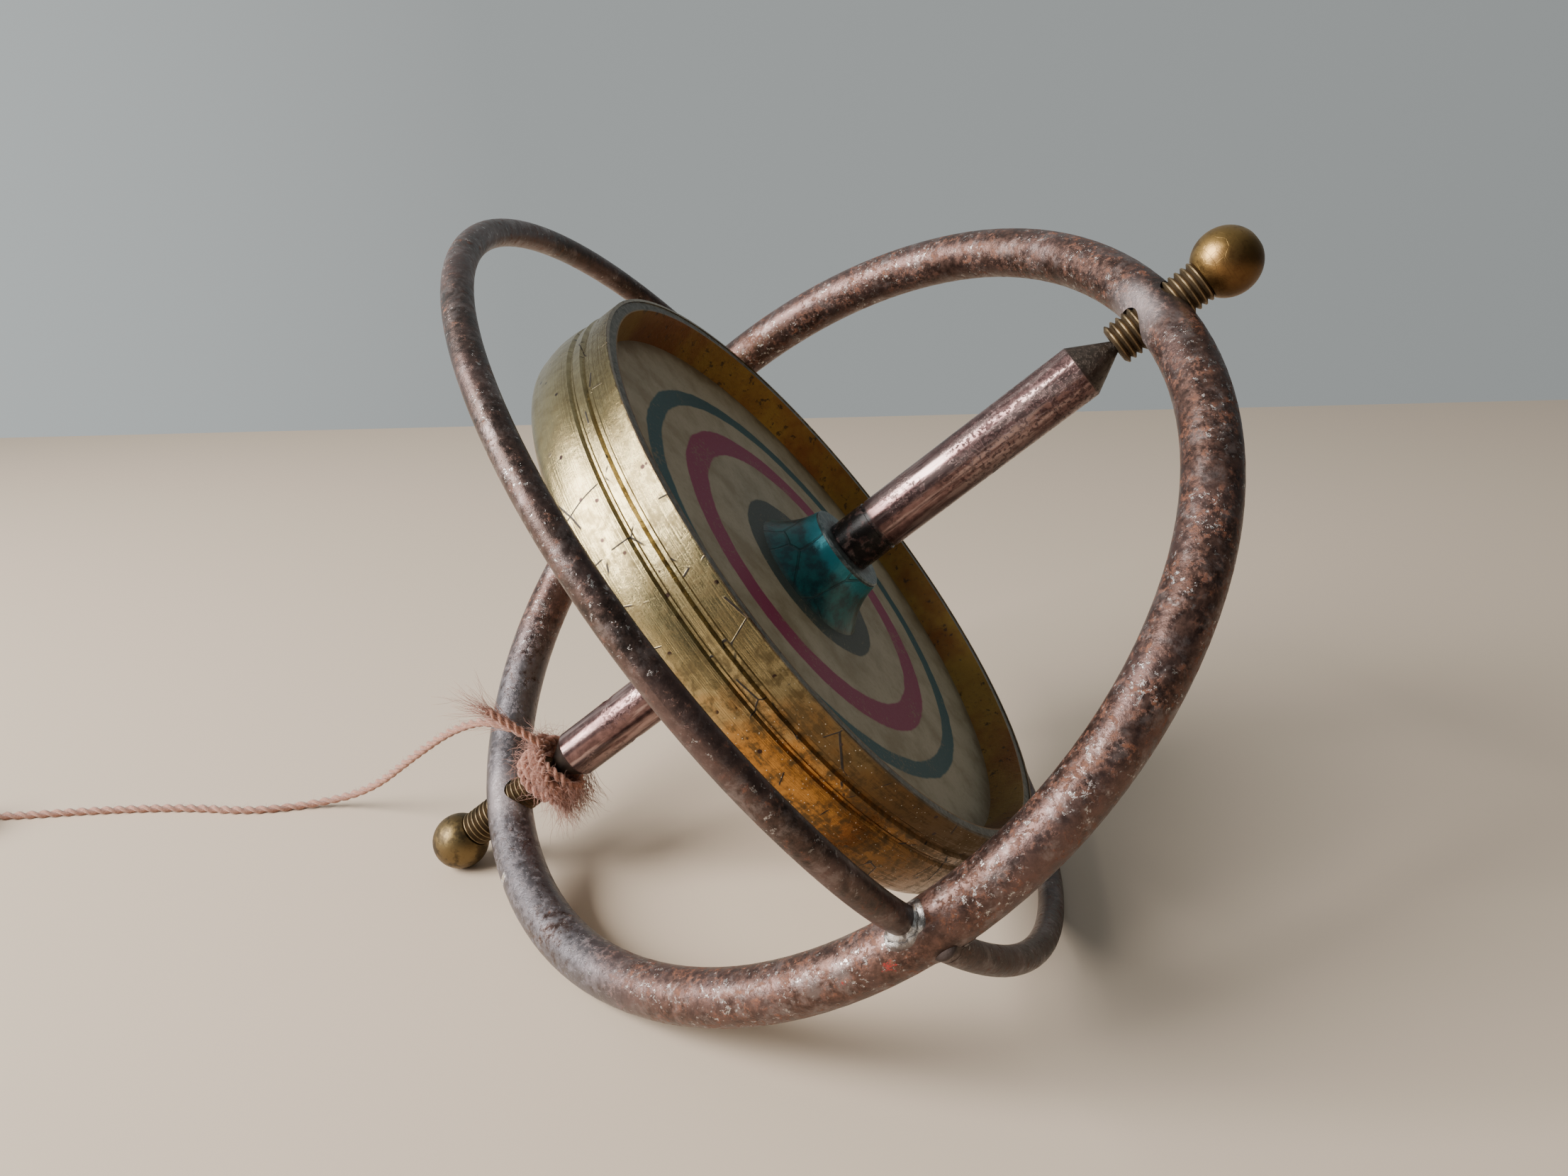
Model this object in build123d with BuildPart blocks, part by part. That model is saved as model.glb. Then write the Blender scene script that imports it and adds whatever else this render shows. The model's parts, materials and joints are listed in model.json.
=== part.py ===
from build123d import *
import os
from math import cos, pi, radians, sin, sqrt, tan

# Toy gyroscope, in millimetres, resting on its lower ball and on its two rings. +Z is up.

# ---- Pose of the gyroscope on its resting surface ----
spin_tilt = 37.07          # spin axis above the horizontal, rising towards +X
ring_turn = 33.58          # outer ring turned about the spin axis, from level
centre_x = 0.36            # shift that puts the origin under the middle of the object's box
centre_y = -0.22

# ---- Outer ring: round rod bent into a slightly long oval ----
ring_long = 41.2           # half length along the spin axis, to the rod's centre
ring_wide = 38.8           # half width across it
ring_rod = 2.4             # rod radius
screw_hole = 2.0           # clearance hole that stands in for the tapped one

# ---- Guard ring: thinner rod across the spin axis, a little out of true ----
guard_radius = 41.52
guard_rod = 1.25
guard_shift = (1.1, -1.25, 0.35)   # along the ring's side, its normal and the spin axis
guard_lean = 1.1           # degrees, about the ring's normal

# ---- Bearing screws and their ball knobs ----
thread_radius = 1.95
thread_root = 1.58
thread_pitch = 0.6
knob_radius = 3.05
knob_flat = 1.0            # radius of the worn flat at a knob's end
upper_knob_at = 48.1       # knob centre, from the gyroscope's centre
lower_knob_at = 49.0
tenon_radius = 1.5         # plain end of a screw, inside its knob
tenon_depth = 1.9
cup_clearance = 0.08       # between a spindle point and the bottom of its cup
cup_reach = 1.0            # how far a screw's end comes past the spindle's point

# ---- Spindle ----
spindle_radius = 2.6
spindle_top = 33.2         # upper shoulder
spindle_bottom = -30.8     # lower shoulder
point_angle = 30.0         # half angle of each point
point_flat = 0.2           # radius of the blunt tip
neck_low = 9.9             # shallow groove above the hub
neck_high = 10.3
neck_radius = 2.48
string_hole_at = -24.0
string_hole_radius = 0.8
string_hole_turn = 47.7    # about the spin axis, from the ring's side

# ---- Flywheel ----
web_half = 1.3
print_thickness = 0.2
web_radius = 29.0
boss_base = 7.0
boss_top = 4.55
boss_height = 6.0          # from the wheel's middle plane
collar_radius = 4.5
collar_height = 0.35
face_inner = 29.95         # inner edge of the rim's front face
core_outer = 30.95
rim_front = 4.8
rim_rear = -4.6
skin_lip = 0.1             # brass skin stands proud of the core's face

# ---- Pull string ----
string_radius = 0.45
loop_inner = 2.35          # loop of string round the lower screw
loop_outer = 4.1
loop_from = -36.6
loop_to = -32.2
coil_centre = (-109.6, 0.0)
coil_radius = 5.0          # to the middle of the turns
coil_half_width = 1.8
coil_height = 3.7

os.makedirs("parts", exist_ok=True)

# ---- Directions and planes ----
tilt = radians(spin_tilt)
turn = radians(ring_turn)
spin = Vector(cos(tilt), 0, sin(tilt))
across = Vector(-sin(tilt), 0, cos(tilt))
side = Vector(0, 1, 0) * cos(turn) + across * sin(turn)
normal = side.cross(spin)
centre_z = lower_knob_at * sin(tilt) + knob_radius
centre = Vector(centre_x, centre_y, centre_z)

meridian = Plane(origin=centre, x_dir=side, z_dir=normal)   # local X is radial, local Y the spin axis
disc = Plane(origin=centre, x_dir=side, z_dir=spin)         # the flywheel's middle plane
spin_axis = Axis(centre, spin)


def finish(part, label):
    """Name a finished piece and write it to its own file."""
    part.label = label
    export_step(part, f"parts/{label}.step")


# ---- Outer ring: a four-arc oval, swept, with a hole at each end of the spin axis ----
half_root = sin(radians(45))
arc_shift = (ring_long - ring_wide) * half_root / (2 * half_root - 1)
end_arc = ring_long - arc_shift
side_arc = ring_wide + arc_shift

with BuildPart() as outer_ring:
    with BuildLine(meridian) as ring_line:
        CenterArc((0, arc_shift), end_arc, 45, 90)
        CenterArc((arc_shift, 0), side_arc, 135, 90)
        CenterArc((0, -arc_shift), end_arc, 225, 90)
        CenterArc((-arc_shift, 0), side_arc, -45, 90)
    with BuildSketch(Plane(origin=ring_line.line @ 0, z_dir=ring_line.line % 0)):
        Circle(ring_rod)
    sweep()
    with BuildSketch(disc):
        Circle(screw_hole)
    extrude(amount=ring_long + 2 * ring_rod, both=True, mode=Mode.SUBTRACT)
finish(outer_ring.part, "outer_ring")

# ---- Guard ring: two half rings, cut where they meet the outer ring's rod ----
lean = radians(guard_lean)
guard_centre = centre + side * guard_shift[0] + normal * guard_shift[1] + spin * guard_shift[2]
guard_axis = spin * cos(lean) + side * sin(lean)
guard_side = side * cos(lean) - spin * sin(lean)
end_angle = 180 / pi * abs(guard_shift[1]) / guard_radius   # ends lie in the outer ring's plane


def guard_section(angle):
    """Plane across the guard rod, at an angle round the guard ring from its side."""
    outward = guard_side * cos(radians(angle)) + guard_axis.cross(guard_side) * sin(radians(angle))
    return Plane(origin=guard_centre + outward * guard_radius, x_dir=outward,
                 z_dir=guard_axis.cross(outward))


def from_centre(along_side, along_normal, along_spin):
    """Point given along the ring's side, its normal and the spin axis."""
    return centre + side * along_side + normal * along_normal + spin * along_spin


bend_angle = 155
near_end = (-38.45, -3.2, -0.2)
near_run = 3.0
near_start = guard_section(-end_angle)
near_bend = guard_section(bend_angle)

with BuildPart() as guard_half_near:
    with BuildLine() as near_line:
        ThreePointArc(near_start.origin, guard_section(bend_angle / 2).origin, near_bend.origin)
        near_bow = TangentArc(near_bend.origin, from_centre(*near_end), tangent=near_bend.z_dir)
        near_way = near_bow % 1
        near_tip = near_bow @ 1 + near_way * near_run
        Line(near_bow @ 1, near_tip)
    with BuildSketch(near_start):
        Circle(guard_rod)
    sweep()
    add(outer_ring.part, mode=Mode.SUBTRACT)
finish(guard_half_near.part, "guard_half_near")

with BuildPart() as guard_half_far:
    with BuildSketch(guard_section(180 + end_angle)):
        Circle(guard_rod)
    revolve(axis=Axis(guard_centre, guard_axis), revolution_arc=180 - 2 * end_angle)
    add(outer_ring.part, mode=Mode.SUBTRACT)
finish(guard_half_far.part, "guard_half_far")

# ---- Solder: a fillet round each guard end, and a lump where the guard laps the rod ----
fillet_foot = 2.0
fillet_tip = 1.45
fillet_from = 1.0
fillet_length = 1.9
lump_radius = 2.5
near_butt = Plane(origin=near_tip - near_way * 0.8, z_dir=near_way * -1)
far_end = from_centre(guard_shift[0] - guard_radius, 0, guard_shift[2] + guard_radius * sin(lean))
far_butt = Plane(origin=far_end + normal * fillet_from, z_dir=normal)
lap_end = centre + side * (ring_wide + ring_rod) + spin * (guard_shift[2] - guard_radius * sin(lean))

for label, guard, butt in (
    ("solder_near", guard_half_near, near_butt),
    ("solder_far", guard_half_far, far_butt),
):
    with BuildPart() as fillet_part:
        with Locations(butt):
            Cone(fillet_foot, fillet_tip, fillet_length, align=(Align.CENTER, Align.CENTER, Align.MIN))
        add(outer_ring.part, mode=Mode.SUBTRACT)
        add(guard.part, mode=Mode.SUBTRACT)
    finish(fillet_part.part, label)

with BuildPart() as solder_lap:
    with Locations(Plane(origin=lap_end, x_dir=normal, z_dir=side)):
        Sphere(lump_radius)
    add(outer_ring.part, mode=Mode.SUBTRACT)
    add(guard_half_near.part, mode=Mode.SUBTRACT)
    add(guard_half_far.part, mode=Mode.SUBTRACT)
finish(solder_lap.part, "solder_lap")

# ---- Spindle: a shaft with a blunt point at each end and a cross hole for the string ----
point_length = spindle_radius / tan(radians(point_angle))
blunt = point_flat / tan(radians(point_angle))
top_point = spindle_top + point_length
bottom_point = spindle_bottom - point_length
hole_way = side * cos(radians(string_hole_turn)) - normal * sin(radians(string_hole_turn))

with BuildPart() as spindle:
    with BuildSketch(meridian):
        with BuildLine():
            Polyline(
                (0, bottom_point + blunt),
                (point_flat, bottom_point + blunt),
                (spindle_radius, spindle_bottom),
                (spindle_radius, neck_low),
                (neck_radius, neck_low),
                (neck_radius, neck_high),
                (spindle_radius, neck_high),
                (spindle_radius, spindle_top),
                (point_flat, top_point - blunt),
                (0, top_point - blunt),
                close=True,
            )
        make_face()
    revolve(axis=spin_axis)
    with BuildSketch(Plane(origin=centre + spin * string_hole_at, z_dir=hole_way)):
        Circle(string_hole_radius)
    extrude(amount=2 * spindle_radius, both=True, mode=Mode.SUBTRACT)
finish(spindle.part, "spindle")


# ---- Bearing screws: grooved brass studs with a cup for the spindle's point ----
def screw_profile(inner, outer):
    """Half section of a screw, from its cup to its tenon, as distances along the spin axis."""
    cup_mouth = cup_reach + cup_clearance
    points = [(0, inner + cup_mouth), (cup_mouth, inner), (thread_root, inner)]
    ridges = int((outer - inner) / thread_pitch)
    pitch = (outer - inner) / ridges
    for ridge in range(ridges):
        points.append((thread_radius, inner + (ridge + 0.4) * pitch))
        points.append((thread_radius, inner + (ridge + 0.6) * pitch))
        points.append((thread_root, inner + (ridge + 1) * pitch))
    points.append((tenon_radius, outer))
    points.append((tenon_radius, outer + tenon_depth))
    points.append((0, outer + tenon_depth))
    return points


def knob_face(knob_at):
    """Where the screw's thread meets its knob."""
    return knob_at - sqrt(knob_radius**2 - thread_radius**2)


lower_half = Plane(origin=centre, x_dir=side, z_dir=-normal)   # local Y runs down the spin axis

with BuildPart() as upper_screw:
    with BuildSketch(meridian):
        with BuildLine():
            Polyline(*screw_profile(top_point - cup_reach, knob_face(upper_knob_at)), close=True)
        make_face()
    revolve(axis=spin_axis)
finish(upper_screw.part, "upper_screw")

with BuildPart() as lower_screw:
    with BuildSketch(lower_half):
        with BuildLine():
            Polyline(*screw_profile(-bottom_point - cup_reach, knob_face(lower_knob_at)), close=True)
        make_face()
    revolve(axis=spin_axis)
finish(lower_screw.part, "lower_screw")

for label, plane, knob_at in (
    ("upper_knob", meridian, upper_knob_at),
    ("lower_knob", lower_half, lower_knob_at),
):
    face = knob_face(knob_at)
    flat = knob_at + sqrt(knob_radius**2 - knob_flat**2)
    with BuildPart() as knob:
        with BuildSketch(plane):
            with BuildLine():
                outline = ThreePointArc((thread_radius, face), (knob_radius, knob_at), (knob_flat, flat))
                Polyline(
                    outline @ 1,
                    (0, flat),
                    (0, face + tenon_depth),
                    (tenon_radius, face + tenon_depth),
                    (tenon_radius, face),
                    outline @ 0,
                )
            make_face()
        revolve(axis=spin_axis)
    finish(knob.part, label)

# ---- Flywheel web, with a printed disc on each face ----
with BuildPart() as web:
    with BuildSketch(disc):
        Circle(web_radius)
        Circle(spindle_radius, mode=Mode.SUBTRACT)
    extrude(amount=web_half, both=True)
finish(web.part, "web")

for label, way in (("front_print", 1), ("rear_print", -1)):
    with BuildPart() as printed:
        with BuildSketch(Plane(origin=centre + spin * (way * web_half), z_dir=spin * way)):
            Circle(web_radius)
            Circle(boss_base, mode=Mode.SUBTRACT)
        extrude(amount=print_thickness)
    finish(printed.part, label)

# ---- Bosses: painted, slightly hollow-sided cones, each capped by a bare metal collar ----
for end, plane in (("front", meridian), ("rear", lower_half)):
    with BuildPart() as boss:
        with BuildSketch(plane):
            with BuildLine():
                flank = ThreePointArc(
                    (boss_base, web_half + print_thickness),
                    (5.35, 3.6),
                    (boss_top, boss_height),
                )
                Polyline(
                    flank @ 1,
                    (spindle_radius, boss_height),
                    (spindle_radius, web_half),
                    (boss_base, web_half),
                    flank @ 0,
                )
            make_face()
        revolve(axis=spin_axis)
    finish(boss.part, f"{end}_boss")
    with BuildPart() as collar:
        with BuildSketch(plane):
            with BuildLine():
                Polyline(
                    (spindle_radius, boss_height),
                    (collar_radius, boss_height),
                    (collar_radius, boss_height + 0.6 * collar_height),
                    (collar_radius - 0.4 * collar_height, boss_height + collar_height),
                    (spindle_radius, boss_height + collar_height),
                    close=True,
                )
            make_face()
        revolve(axis=spin_axis)
    finish(collar.part, f"{end}_collar")

# ---- Rim: a heavy grey core inside a turned brass skin ----
rear_round = 1.5
with BuildPart() as rim_core:
    with BuildSketch(meridian):
        with BuildLine():
            rear_arc = ThreePointArc(
                (core_outer, rim_rear + rear_round),
                (core_outer - 0.3 * rear_round, rim_rear + 0.3 * rear_round),
                (core_outer - rear_round, rim_rear),
            )
            Polyline(
                rear_arc @ 1,
                (web_radius, rim_rear + 3.1),
                (web_radius, web_half + print_thickness),
                (face_inner, rim_front),
                (core_outer, rim_front),
                rear_arc @ 0,
            )
        make_face()
    revolve(axis=spin_axis)
finish(rim_core.part, "rim_core")

front_edge = 31.25
band_low = 31.4
groove = 31.2
ridge = 31.7
belly = 31.9
with BuildPart() as rim_shell:
    with BuildSketch(meridian):
        with BuildLine():
            belly_arc = ThreePointArc((ridge, 0.6), (belly, -1.2), (ridge, -2.9))
            heel_arc = ThreePointArc(belly_arc @ 1, (31.1, -4.2), (29.9, rim_rear - skin_lip))
            inner_arc = ThreePointArc(
                (core_outer - rear_round, rim_rear),
                (core_outer - 0.3 * rear_round, rim_rear + 0.3 * rear_round),
                (core_outer, rim_rear + rear_round),
            )
            Polyline(heel_arc @ 1, (core_outer - rear_round, rim_rear - skin_lip), inner_arc @ 0)
            Polyline(
                inner_arc @ 1,
                (core_outer, rim_front + skin_lip),
                (front_edge, rim_front + skin_lip),
                (band_low, 2.7),
                (groove, 2.5),
                (groove, 2.2),
                (31.55, 2.0),
                (31.55, 1.2),
                (31.4, 1.0),
                (31.4, 0.8),
                belly_arc @ 0,
            )
        make_face()
    revolve(axis=spin_axis)
finish(rim_shell.part, "rim_shell")

# ---- Pull string: a loop on the lower screw, a run to the table and along it, and a coil ----
with BuildPart() as string_loop:
    with BuildSketch(meridian):
        with Locations(((loop_inner + loop_outer) / 2, (loop_from + loop_to) / 2)):
            RectangleRounded(loop_outer - loop_inner, loop_to - loop_from, 0.8)
    revolve(axis=spin_axis)
finish(string_loop.part, "string_loop")

floor_height = string_radius + 0.01
string_route = [
    (-27.7, -1.0, 15.4),
    (-32.6, 0.4, 17.5),
    (-39.4, 3.9, 15.0),
    (-47.4, 7.8, 9.2),
    (-54.8, 10.8, 3.4),
    (-62.6, 12.3, floor_height),
    (-70.5, 9.5, floor_height),
    (-80.0, 10.1, floor_height),
    (-91.5, 8.6, floor_height),
    (-103.0, 6.2, floor_height),
    (-109.6, 6.33, floor_height),
]


def fillet_radii(points):
    """The largest smooth radius at each inner point of a route."""
    radii = []
    for before, here, after in zip(points, points[1:], points[2:]):
        arriving = Vector(*here) - Vector(*before)
        leaving = Vector(*after) - Vector(*here)
        half_turn = radians(arriving.get_angle(leaving)) / 2
        radii.append(0.45 * min(arriving.length, leaving.length) / tan(half_turn))
    return radii


string_radii = fillet_radii(string_route)
with BuildPart() as pull_string:
    with BuildLine() as string_line:
        FilletPolyline(*string_route, radius=string_radii)
    with BuildSketch(Plane(origin=string_line.line @ 0, z_dir=string_line.line % 0)):
        Circle(string_radius)
    sweep()
finish(pull_string.part, "pull_string")
tube_length = sum(edge.length for edge in string_line.edges())
section_volume = pi * string_radius**2 * tube_length
print("string radii", [round(radius, 1) for radius in string_radii])
print("string tube length", round(tube_length, 2))
print("volume over section times length", round(pull_string.part.volume / section_volume, 4))

with BuildPart() as string_coil:
    with BuildSketch(Plane.XY.offset(0.01)):
        with Locations(coil_centre):
            Circle(coil_radius + coil_half_width)
            Circle(coil_radius - coil_half_width, mode=Mode.SUBTRACT)
    extrude(amount=coil_height)
    fillet(string_coil.edges().filter_by(GeomType.CIRCLE), 0.6)
finish(string_coil.part, "string_coil")
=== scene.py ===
import json
import random
from math import cos, pi, radians, sin, sqrt, tau

import bpy
from mathutils import Matrix, Vector, noise


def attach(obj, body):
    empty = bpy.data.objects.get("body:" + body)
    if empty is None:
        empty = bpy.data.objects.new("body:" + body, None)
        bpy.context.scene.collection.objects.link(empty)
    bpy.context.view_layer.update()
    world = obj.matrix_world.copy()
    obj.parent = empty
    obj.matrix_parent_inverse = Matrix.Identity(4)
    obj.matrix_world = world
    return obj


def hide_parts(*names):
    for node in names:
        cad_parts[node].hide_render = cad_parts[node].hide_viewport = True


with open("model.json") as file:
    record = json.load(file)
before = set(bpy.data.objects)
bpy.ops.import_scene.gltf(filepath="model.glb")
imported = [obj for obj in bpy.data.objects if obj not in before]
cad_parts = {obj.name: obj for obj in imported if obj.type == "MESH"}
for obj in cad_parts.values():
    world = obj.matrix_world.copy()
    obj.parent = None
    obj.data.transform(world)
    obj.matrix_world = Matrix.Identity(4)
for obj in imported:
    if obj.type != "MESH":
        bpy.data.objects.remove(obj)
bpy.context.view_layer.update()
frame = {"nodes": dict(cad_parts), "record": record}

# Old toy gyroscope, resting on its lower ball and its two rings. Metres, unless a name or a comment says mm.

MM = 0.001
draw = random.Random(7)

# ---- The gyroscope's own axes: local X is the ring's side, local Y its front, local Z the spin axis ----
ring_turn = radians(33.58)
wheel_joint = next(j for j in frame["record"]["behaviour"]["joints"] if j["name"] == "flywheel_spin")
centre = Vector(wheel_joint["pos_m"])
spin = Vector(wheel_joint["axis"]).normalized()
level = Vector((0, 1, 0))
side = level * cos(ring_turn) + spin.cross(level) * sin(ring_turn)
front = spin.cross(side)
own_axes = Matrix((side, front, spin)).transposed()


def at(x_mm, y_mm, z_mm):
    """A point given in the gyroscope's own axes, in mm, as a point in the row frame."""
    return centre + own_axes @ Vector((x_mm, y_mm, z_mm)) * MM


# ---- Camera ----
lens = bpy.data.cameras.new("camera")
lens.sensor_fit = "HORIZONTAL"
lens.sensor_width = 36
lens.lens = 26.43
lens.clip_start = 0.002
camera = bpy.data.objects.new("camera", lens)
bpy.context.collection.objects.link(camera)
view_right = Vector((0.98837, 0.14478, -0.04656))
view_up = Vector((0.00175, 0.29527, 0.95541))
view_back = view_right.cross(view_up)
camera.matrix_world = (
    Matrix.Translation(Vector((16.15, -107.41, 65.40)) * MM)
    @ Matrix((view_right, view_up, view_back)).transposed().to_4x4()
)
bpy.context.scene.camera = camera


# ---- Mesh helpers ----
def mesh_object(name, vertices, faces):
    mesh = bpy.data.meshes.new(name)
    mesh.from_pydata([tuple(v) for v in vertices], [], faces)
    mesh.update()
    mesh.polygons.foreach_set("use_smooth", [True] * len(mesh.polygons))
    made = bpy.data.objects.new(name, mesh)
    bpy.context.collection.objects.link(made)
    return made


def respaced(points, step):
    """Points along a line of points, one every step."""
    made, left = [points[0].copy()], step
    for here, there in zip(points, points[1:]):
        length = (there - here).length
        while left <= length and length > 0:
            made.append(here.lerp(there, left / length))
            left += step
        left -= length
    return made


def frames_along(points):
    """Each point's direction, and two directions across it that turn as little as they can."""
    ahead = [(b - a).normalized() for a, b in zip(points, points[1:])]
    ahead.append(ahead[-1])
    first = ahead[0].orthogonal().normalized()
    made = []
    for point, way in zip(points, ahead):
        first = (first - way * first.dot(way)).normalized()
        made.append((point, way, first, way.cross(first)))
    return made


def tube(vertices, faces, path, radius_at, sides, twist=None):
    """Adds a tube along path; twist gives the offset of its middle and the turn at each point."""
    start = len(vertices)
    framed = frames_along(path)
    for n, (point, _, first, second) in enumerate(framed):
        radius = radius_at(n / (len(framed) - 1))
        middle = point
        if twist:
            offset, angle = twist(n)
            middle = point + (first * cos(angle) + second * sin(angle)) * offset
        for k in range(sides):
            turn = tau * k / sides
            vertices.append(middle + (first * cos(turn) + second * sin(turn)) * radius)
    for n in range(len(framed) - 1):
        for k in range(sides):
            a, b = start + n * sides + k, start + n * sides + (k + 1) % sides
            faces.append((a, b, b + sides, a + sides))
    faces.append(tuple(range(start + sides - 1, start - 1, -1)))
    last = start + (len(framed) - 1) * sides
    faces.append(tuple(range(last, last + sides)))


# ---- Pull string: the same route as the CAD tube, then the turns of the coil, in mm ----
string_diameter = 0.9
floor_height = string_diameter / 2 + 0.01
string_route = [
    (-27.7, -1.0, 15.4),
    (-32.6, 0.4, 17.5),
    (-39.4, 3.9, 15.0),
    (-47.4, 7.8, 9.2),
    (-54.8, 10.8, 3.4),
    (-62.6, 12.3, floor_height),
    (-70.5, 9.5, floor_height),
    (-80.0, 10.1, floor_height),
    (-91.5, 8.6, floor_height),
    (-103.0, 6.2, floor_height),
    (-109.6, 6.33, floor_height),
]
coil_centre = (-109.6, 0.0)
coil_layers = ((6.33, 3.53, 3), (3.53, 6.33, 3), (6.33, 3.53, 3), (3.53, 5.7, 2.4))
layer_rise = 0.92
steps_a_turn = 14
coil_angle = radians(90)
for layer, (from_radius, to_radius, turns) in enumerate(coil_layers):
    steps = round(turns * steps_a_turn)
    for n in range(1, steps + 1):
        coil_angle += tau / steps_a_turn
        radius = from_radius + (to_radius - from_radius) * n / steps
        below = layer - 1 + min(1, n / 3) if layer else 0
        string_route.append((
            coil_centre[0] + radius * cos(coil_angle),
            coil_centre[1] + radius * sin(coil_angle),
            floor_height + layer_rise * below,
        ))


def nurbs(name, points_mm, resolution):
    """A smooth line with these control points."""
    curve = bpy.data.curves.new(name, "CURVE")
    curve.dimensions = "3D"
    spline = curve.splines.new("NURBS")
    spline.points.add(len(points_mm) - 1)
    for point, place in zip(spline.points, points_mm):
        point.co = (*(Vector(place) * MM), 1)
    spline.order_u = 3
    spline.use_endpoint_u = True
    spline.resolution_u = resolution
    return bpy.data.objects.new(name, curve)


def line_of(curve_object):
    """The points of a smooth line, in order."""
    bpy.context.collection.objects.link(curve_object)
    evaluated = curve_object.evaluated_get(bpy.context.evaluated_depsgraph_get())
    mesh = bpy.data.meshes.new_from_object(evaluated)
    points = [v.co.copy() for v in mesh.vertices]
    bpy.data.meshes.remove(mesh)
    bpy.data.objects.remove(curve_object)
    return points


def two_ply(vertices, faces, line, diameter, twist_length, step):
    """Two strands twisted round a line, a little unevenly."""
    strand_radius, strand_offset, strand_sides = 0.32 * diameter, 0.27 * diameter, 7
    path = respaced(line, step)
    for strand in (0, pi):
        tube(
            vertices,
            faces,
            path,
            lambda share: strand_radius,
            strand_sides,
            lambda n: (strand_offset, strand + tau * n * step / twist_length + 0.5 * sin(n * 0.013)),
        )
    return path


string_line = line_of(nurbs("string_route", string_route, 32))
vertices, faces = [], []
string_path = two_ply(vertices, faces, string_line, string_diameter * MM, 3.1 * MM, 0.2 * MM)
string = mesh_object("string_strands", vertices, faces)


# ---- Knot: turns of string round the lower screw, and loose fibres from it ----
wrap_points = []
wrap_turns = 4.6
wrap_steps = 16   # points a turn
for n in range(int(wrap_turns * wrap_steps)):
    share = n / (wrap_turns * wrap_steps)
    angle = tau * n / wrap_steps + 0.9
    radius = 2.95 + 0.22 * sin(5 * angle + 1) * sin(1.3 * angle) + 0.25 * sin(pi * share)
    along = -36.0 + 3.3 * share + 0.28 * sin(2.3 * angle)
    wrap_points.append(tuple(at(radius * cos(angle), radius * sin(angle), along) / MM))
over_points = []
over_steps = 15   # points a turn, for two turns
for n in range(2 * over_steps):
    angle = tau * n / over_steps + 2.1
    radius = 3.6 + 0.12 * sin(3 * angle)
    along = -34.3 + 1.25 * sin(angle * 0.93 + 0.6)
    over_points.append(tuple(at(radius * cos(angle), radius * sin(angle), along) / MM))
tail_points = [
    (-27.4, -1.9, 15.7),
    (-29.3, -2.6, 17.6),
    (-31.0, -3.1, 19.0),
    (-32.4, -3.2, 20.1),
]
knot_strings = (("wrap", wrap_points, 0.95), ("over", over_points, 0.85), ("tail", tail_points, 0.8))
vertices, faces = [], []
knot_lines = []
for name, points, thick in knot_strings:
    line = line_of(nurbs(name, points, 8))
    knot_lines.append(respaced(line, 0.3 * MM))
    two_ply(vertices, faces, line, thick * MM, 1.9 * MM, 0.19 * MM)
knot = mesh_object("string_knot", vertices, faces)


def fibre(vertices, faces, start, way, length, curl, drop, thick=0.022):
    """One loose hair: it sets out along way, wanders, and droops."""
    here, heading = start.copy(), way.normalized()
    path = [here.copy()]
    pieces = 7
    for _ in range(pieces):
        wander = Vector((draw.gauss(0, 1), draw.gauss(0, 1), draw.gauss(0, 1))) * curl
        heading = (heading + wander + Vector((0, 0, -drop))).normalized()
        here = here + heading * (length * MM / pieces)
        path.append(here.copy())
    tube(vertices, faces, path, lambda share: thick * MM * (1 - 0.7 * share), 3)


def outward_from_axis(point):
    """The direction away from the spin axis."""
    away = point - centre
    return (away - spin * away.dot(spin)).normalized()


knot_fibres, tail_fibres, beard_fibres, run_fibres = 1300, 150, 230, 420
vertices, faces = [], []
down = Vector((0, 0, -1))
for _ in range(knot_fibres):
    line = knot_lines[draw.randrange(2)]
    start = line[draw.randrange(len(line))]
    out = outward_from_axis(start)
    start = start + out * 0.3 * MM
    round_way = spin.cross(out) * draw.choice((-1, 1))
    way = out * draw.uniform(0.1, 0.8) + round_way * draw.uniform(0.2, 1.2)
    way = way + spin * draw.uniform(-0.3, 0.5)
    fibre(vertices, faces, start, way, draw.uniform(1.2, 3.4), 0.3, 0.14)
tail = knot_lines[2]
for _ in range(tail_fibres):
    start = tail[int(len(tail) * draw.uniform(0.45, 0.999))]
    way = Vector((-0.95, -0.1, draw.uniform(-0.1, 1.15)))
    start = start + Vector((draw.gauss(0, 0.22), draw.gauss(0, 0.22), draw.gauss(0, 0.22))) * MM
    fibre(vertices, faces, start, way, draw.uniform(2.5, 6.0), 0.13, -0.01, 0.026)
for _ in range(beard_fibres):
    angle = radians(draw.uniform(-175, -55))
    foot = at(3.7 * cos(angle), 3.7 * sin(angle), draw.uniform(-36.0, -31.9))
    way = down + Vector((draw.uniform(-0.2, 0.75), draw.uniform(-0.4, 0.2), 0))
    if foot.z < at(0, 0, -33).z + 1.5 * MM:
        fibre(vertices, faces, foot, way, draw.uniform(1.5, 4.2), 0.16, 0.05, 0.024)
for _ in range(run_fibres):
    start = string_path[draw.randrange(int(len(string_path) * 0.2))]
    way = Vector((draw.gauss(0, 1), draw.gauss(0, 1), draw.gauss(0, 1)))
    if start.z < 0.6 * MM:
        way.z = abs(way.z)
    fibre(vertices, faces, start, way, draw.uniform(0.4, 1.3), 0.3, 0.0, 0.016)
fuzz = mesh_object("string_fuzz", vertices, faces)
lowest = 0.05 * MM   # above the floor
for piece in (string, fuzz):
    for v in piece.data.vertices:
        v.co.z = max(v.co.z, lowest)


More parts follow.
